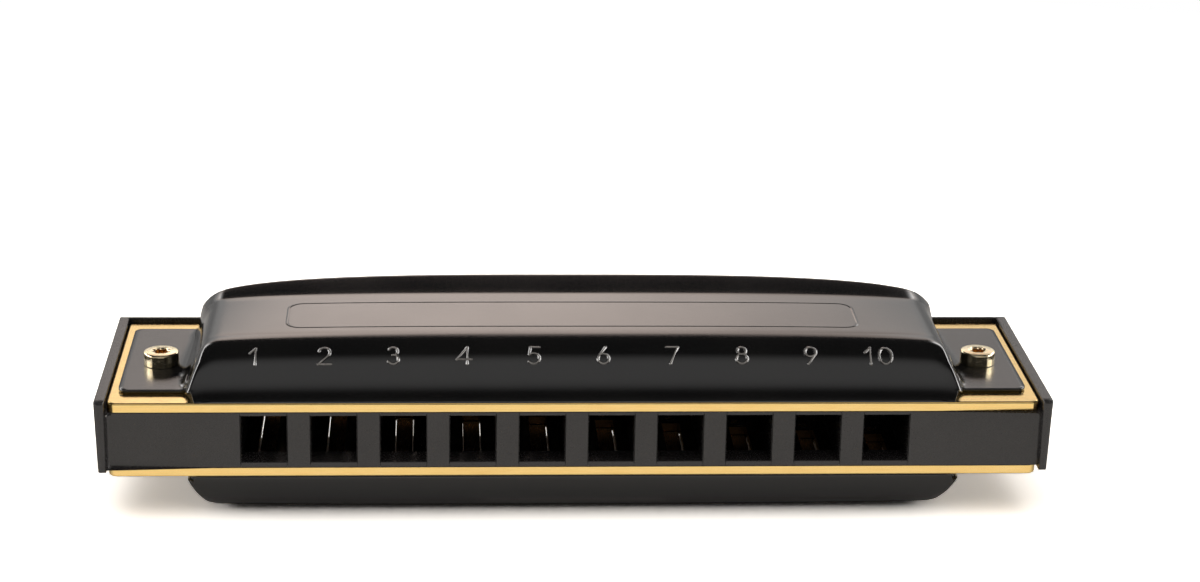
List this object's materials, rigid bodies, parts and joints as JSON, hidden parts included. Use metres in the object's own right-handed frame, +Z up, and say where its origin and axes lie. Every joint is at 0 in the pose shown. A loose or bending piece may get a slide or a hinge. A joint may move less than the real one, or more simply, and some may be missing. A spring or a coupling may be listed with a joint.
{
  "type": "diatonic harmonica",
  "caption": "Diatonic harmonica: black comb with a row of mouth holes between two brass reed plates, under screwed black sheet covers open at the rear.",
  "frame": {"origin": "below the middle of the body's box, at the height of the lowest point of the lower cover", "axes": "+X along the row of holes from low notes to high notes, +Y from the mouth side to the open rear, +Z up, square to the comb's faces"},
  "size_m": [0.1036, 0.0284, 0.0214],
  "materials": {
    "comb_plastic": "satin moulded black plastic",
    "plate_brass": "rolled brass sheet, brushed along its length",
    "reed_bronze": "ground bronze strip",
    "rivet_brass": "turned brass",
    "cover_black": "satin black coating on pressed sheet",
    "fastener_steel": "polished, pale gold plating"
  },
  "bodies": {
    "harmonica_body": {"comb": "comb_plastic", "upper_reed_plate": "plate_brass", "lower_reed_plate": "plate_brass", "blow_reed_pads": "reed_bronze", "draw_reed_pads": "reed_bronze", "blow_reed_rivets": "rivet_brass", "draw_reed_rivets": "rivet_brass", "upper_cover": "cover_black", "lower_cover": "cover_black", "cover_screws": "fastener_steel", "cover_nuts": "fastener_steel", "plate_screws": "fastener_steel"},
    "blow_reed_1_body": {"blow_reed_1": "reed_bronze"},
    "blow_reed_2_body": {"blow_reed_2": "reed_bronze"},
    "blow_reed_3_body": {"blow_reed_3": "reed_bronze"},
    "blow_reed_4_body": {"blow_reed_4": "reed_bronze"},
    "blow_reed_5_body": {"blow_reed_5": "reed_bronze"},
    "blow_reed_6_body": {"blow_reed_6": "reed_bronze"},
    "blow_reed_7_body": {"blow_reed_7": "reed_bronze"},
    "blow_reed_8_body": {"blow_reed_8": "reed_bronze"},
    "blow_reed_9_body": {"blow_reed_9": "reed_bronze"},
    "blow_reed_10_body": {"blow_reed_10": "reed_bronze"},
    "draw_reed_1_body": {"draw_reed_1": "reed_bronze"},
    "draw_reed_2_body": {"draw_reed_2": "reed_bronze"},
    "draw_reed_3_body": {"draw_reed_3": "reed_bronze"},
    "draw_reed_4_body": {"draw_reed_4": "reed_bronze"},
    "draw_reed_5_body": {"draw_reed_5": "reed_bronze"},
    "draw_reed_6_body": {"draw_reed_6": "reed_bronze"},
    "draw_reed_7_body": {"draw_reed_7": "reed_bronze"},
    "draw_reed_8_body": {"draw_reed_8": "reed_bronze"},
    "draw_reed_9_body": {"draw_reed_9": "reed_bronze"},
    "draw_reed_10_body": {"draw_reed_10": "reed_bronze"}
  },
  "joints": [
    {"name": "blow_reed_1_flex", "type": "hinge", "parent": "harmonica_body", "child": "blow_reed_1_body", "pos_m": [-0.03375, -0.00662, 0.01378], "axis": [1, 0, 0], "range_deg": [-4, 4], "stiffness_Nm_per_rad": 0.0139},
    {"name": "blow_reed_2_flex", "type": "hinge", "parent": "harmonica_body", "child": "blow_reed_2_body", "pos_m": [-0.02625, -0.00662, 0.01378], "axis": [1, 0, 0], "range_deg": [-4, 4], "stiffness_Nm_per_rad": 0.0177},
    {"name": "blow_reed_3_flex", "type": "hinge", "parent": "harmonica_body", "child": "blow_reed_3_body", "pos_m": [-0.01875, -0.00662, 0.01378], "axis": [1, 0, 0], "range_deg": [-4, 4], "stiffness_Nm_per_rad": 0.0196},
    {"name": "blow_reed_4_flex", "type": "hinge", "parent": "harmonica_body", "child": "blow_reed_4_body", "pos_m": [-0.01125, -0.00662, 0.01378], "axis": [1, 0, 0], "range_deg": [-4, 4], "stiffness_Nm_per_rad": 0.0268},
    {"name": "blow_reed_5_flex", "type": "hinge", "parent": "harmonica_body", "child": "blow_reed_5_body", "pos_m": [-0.00375, -0.00662, 0.01378], "axis": [1, 0, 0], "range_deg": [-4, 4], "stiffness_Nm_per_rad": 0.032},
    {"name": "blow_reed_6_flex", "type": "hinge", "parent": "harmonica_body", "child": "blow_reed_6_body", "pos_m": [0.00375, -0.00662, 0.01378], "axis": [1, 0, 0], "range_deg": [-4, 4], "stiffness_Nm_per_rad": 0.033},
    {"name": "blow_reed_7_flex", "type": "hinge", "parent": "harmonica_body", "child": "blow_reed_7_body", "pos_m": [0.01125, -0.00662, 0.01378], "axis": [1, 0, 0], "range_deg": [-4, 4], "stiffness_Nm_per_rad": 0.0412},
    {"name": "blow_reed_8_flex", "type": "hinge", "parent": "harmonica_body", "child": "blow_reed_8_body", "pos_m": [0.01875, -0.00662, 0.01378], "axis": [1, 0, 0], "range_deg": [-4, 4], "stiffness_Nm_per_rad": 0.0437},
    {"name": "blow_reed_9_flex", "type": "hinge", "parent": "harmonica_body", "child": "blow_reed_9_body", "pos_m": [0.02625, -0.00662, 0.01378], "axis": [1, 0, 0], "range_deg": [-4, 4], "stiffness_Nm_per_rad": 0.0388},
    {"name": "blow_reed_10_flex", "type": "hinge", "parent": "harmonica_body", "child": "blow_reed_10_body", "pos_m": [0.03375, -0.00662, 0.01378], "axis": [1, 0, 0], "range_deg": [-4, 4], "stiffness_Nm_per_rad": 0.0398},
    {"name": "draw_reed_1_flex", "type": "hinge", "parent": "harmonica_body", "child": "draw_reed_1_body", "pos_m": [-0.03375, 0.0067, 0.00637], "axis": [1, 0, 0], "range_deg": [-4, 4], "stiffness_Nm_per_rad": 0.0189},
    {"name": "draw_reed_2_flex", "type": "hinge", "parent": "harmonica_body", "child": "draw_reed_2_body", "pos_m": [-0.02625, 0.00556, 0.00637], "axis": [1, 0, 0], "range_deg": [-4, 4], "stiffness_Nm_per_rad": 0.027},
    {"name": "draw_reed_3_flex", "type": "hinge", "parent": "harmonica_body", "child": "draw_reed_3_body", "pos_m": [-0.01875, 0.00443, 0.00637], "axis": [1, 0, 0], "range_deg": [-4, 4], "stiffness_Nm_per_rad": 0.0338},
    {"name": "draw_reed_4_flex", "type": "hinge", "parent": "harmonica_body", "child": "draw_reed_4_body", "pos_m": [-0.01125, 0.00331, 0.00637], "axis": [1, 0, 0], "range_deg": [-4, 4], "stiffness_Nm_per_rad": 0.0369},
    {"name": "draw_reed_5_flex", "type": "hinge", "parent": "harmonica_body", "child": "draw_reed_5_body", "pos_m": [-0.00375, 0.00217, 0.00637], "axis": [1, 0, 0], "range_deg": [-4, 4], "stiffness_Nm_per_rad": 0.0394},
    {"name": "draw_reed_6_flex", "type": "hinge", "parent": "harmonica_body", "child": "draw_reed_6_body", "pos_m": [0.00375, 0.00104, 0.00637], "axis": [1, 0, 0], "range_deg": [-4, 4], "stiffness_Nm_per_rad": 0.0459},
    {"name": "draw_reed_7_flex", "type": "hinge", "parent": "harmonica_body", "child": "draw_reed_7_body", "pos_m": [0.01125, -0.00009, 0.00637], "axis": [1, 0, 0], "range_deg": [-4, 4], "stiffness_Nm_per_rad": 0.0409},
    {"name": "draw_reed_8_flex", "type": "hinge", "parent": "harmonica_body", "child": "draw_reed_8_body", "pos_m": [0.01875, -0.00121, 0.00637], "axis": [1, 0, 0], "range_deg": [-4, 4], "stiffness_Nm_per_rad": 0.0391},
    {"name": "draw_reed_9_flex", "type": "hinge", "parent": "harmonica_body", "child": "draw_reed_9_body", "pos_m": [0.02625, -0.00234, 0.00637], "axis": [1, 0, 0], "range_deg": [-4, 4], "stiffness_Nm_per_rad": 0.0353},
    {"name": "draw_reed_10_flex", "type": "hinge", "parent": "harmonica_body", "child": "draw_reed_10_body", "pos_m": [0.03375, -0.00347, 0.00637], "axis": [1, 0, 0], "range_deg": [-4, 4], "stiffness_Nm_per_rad": 0.0329}
  ]
}
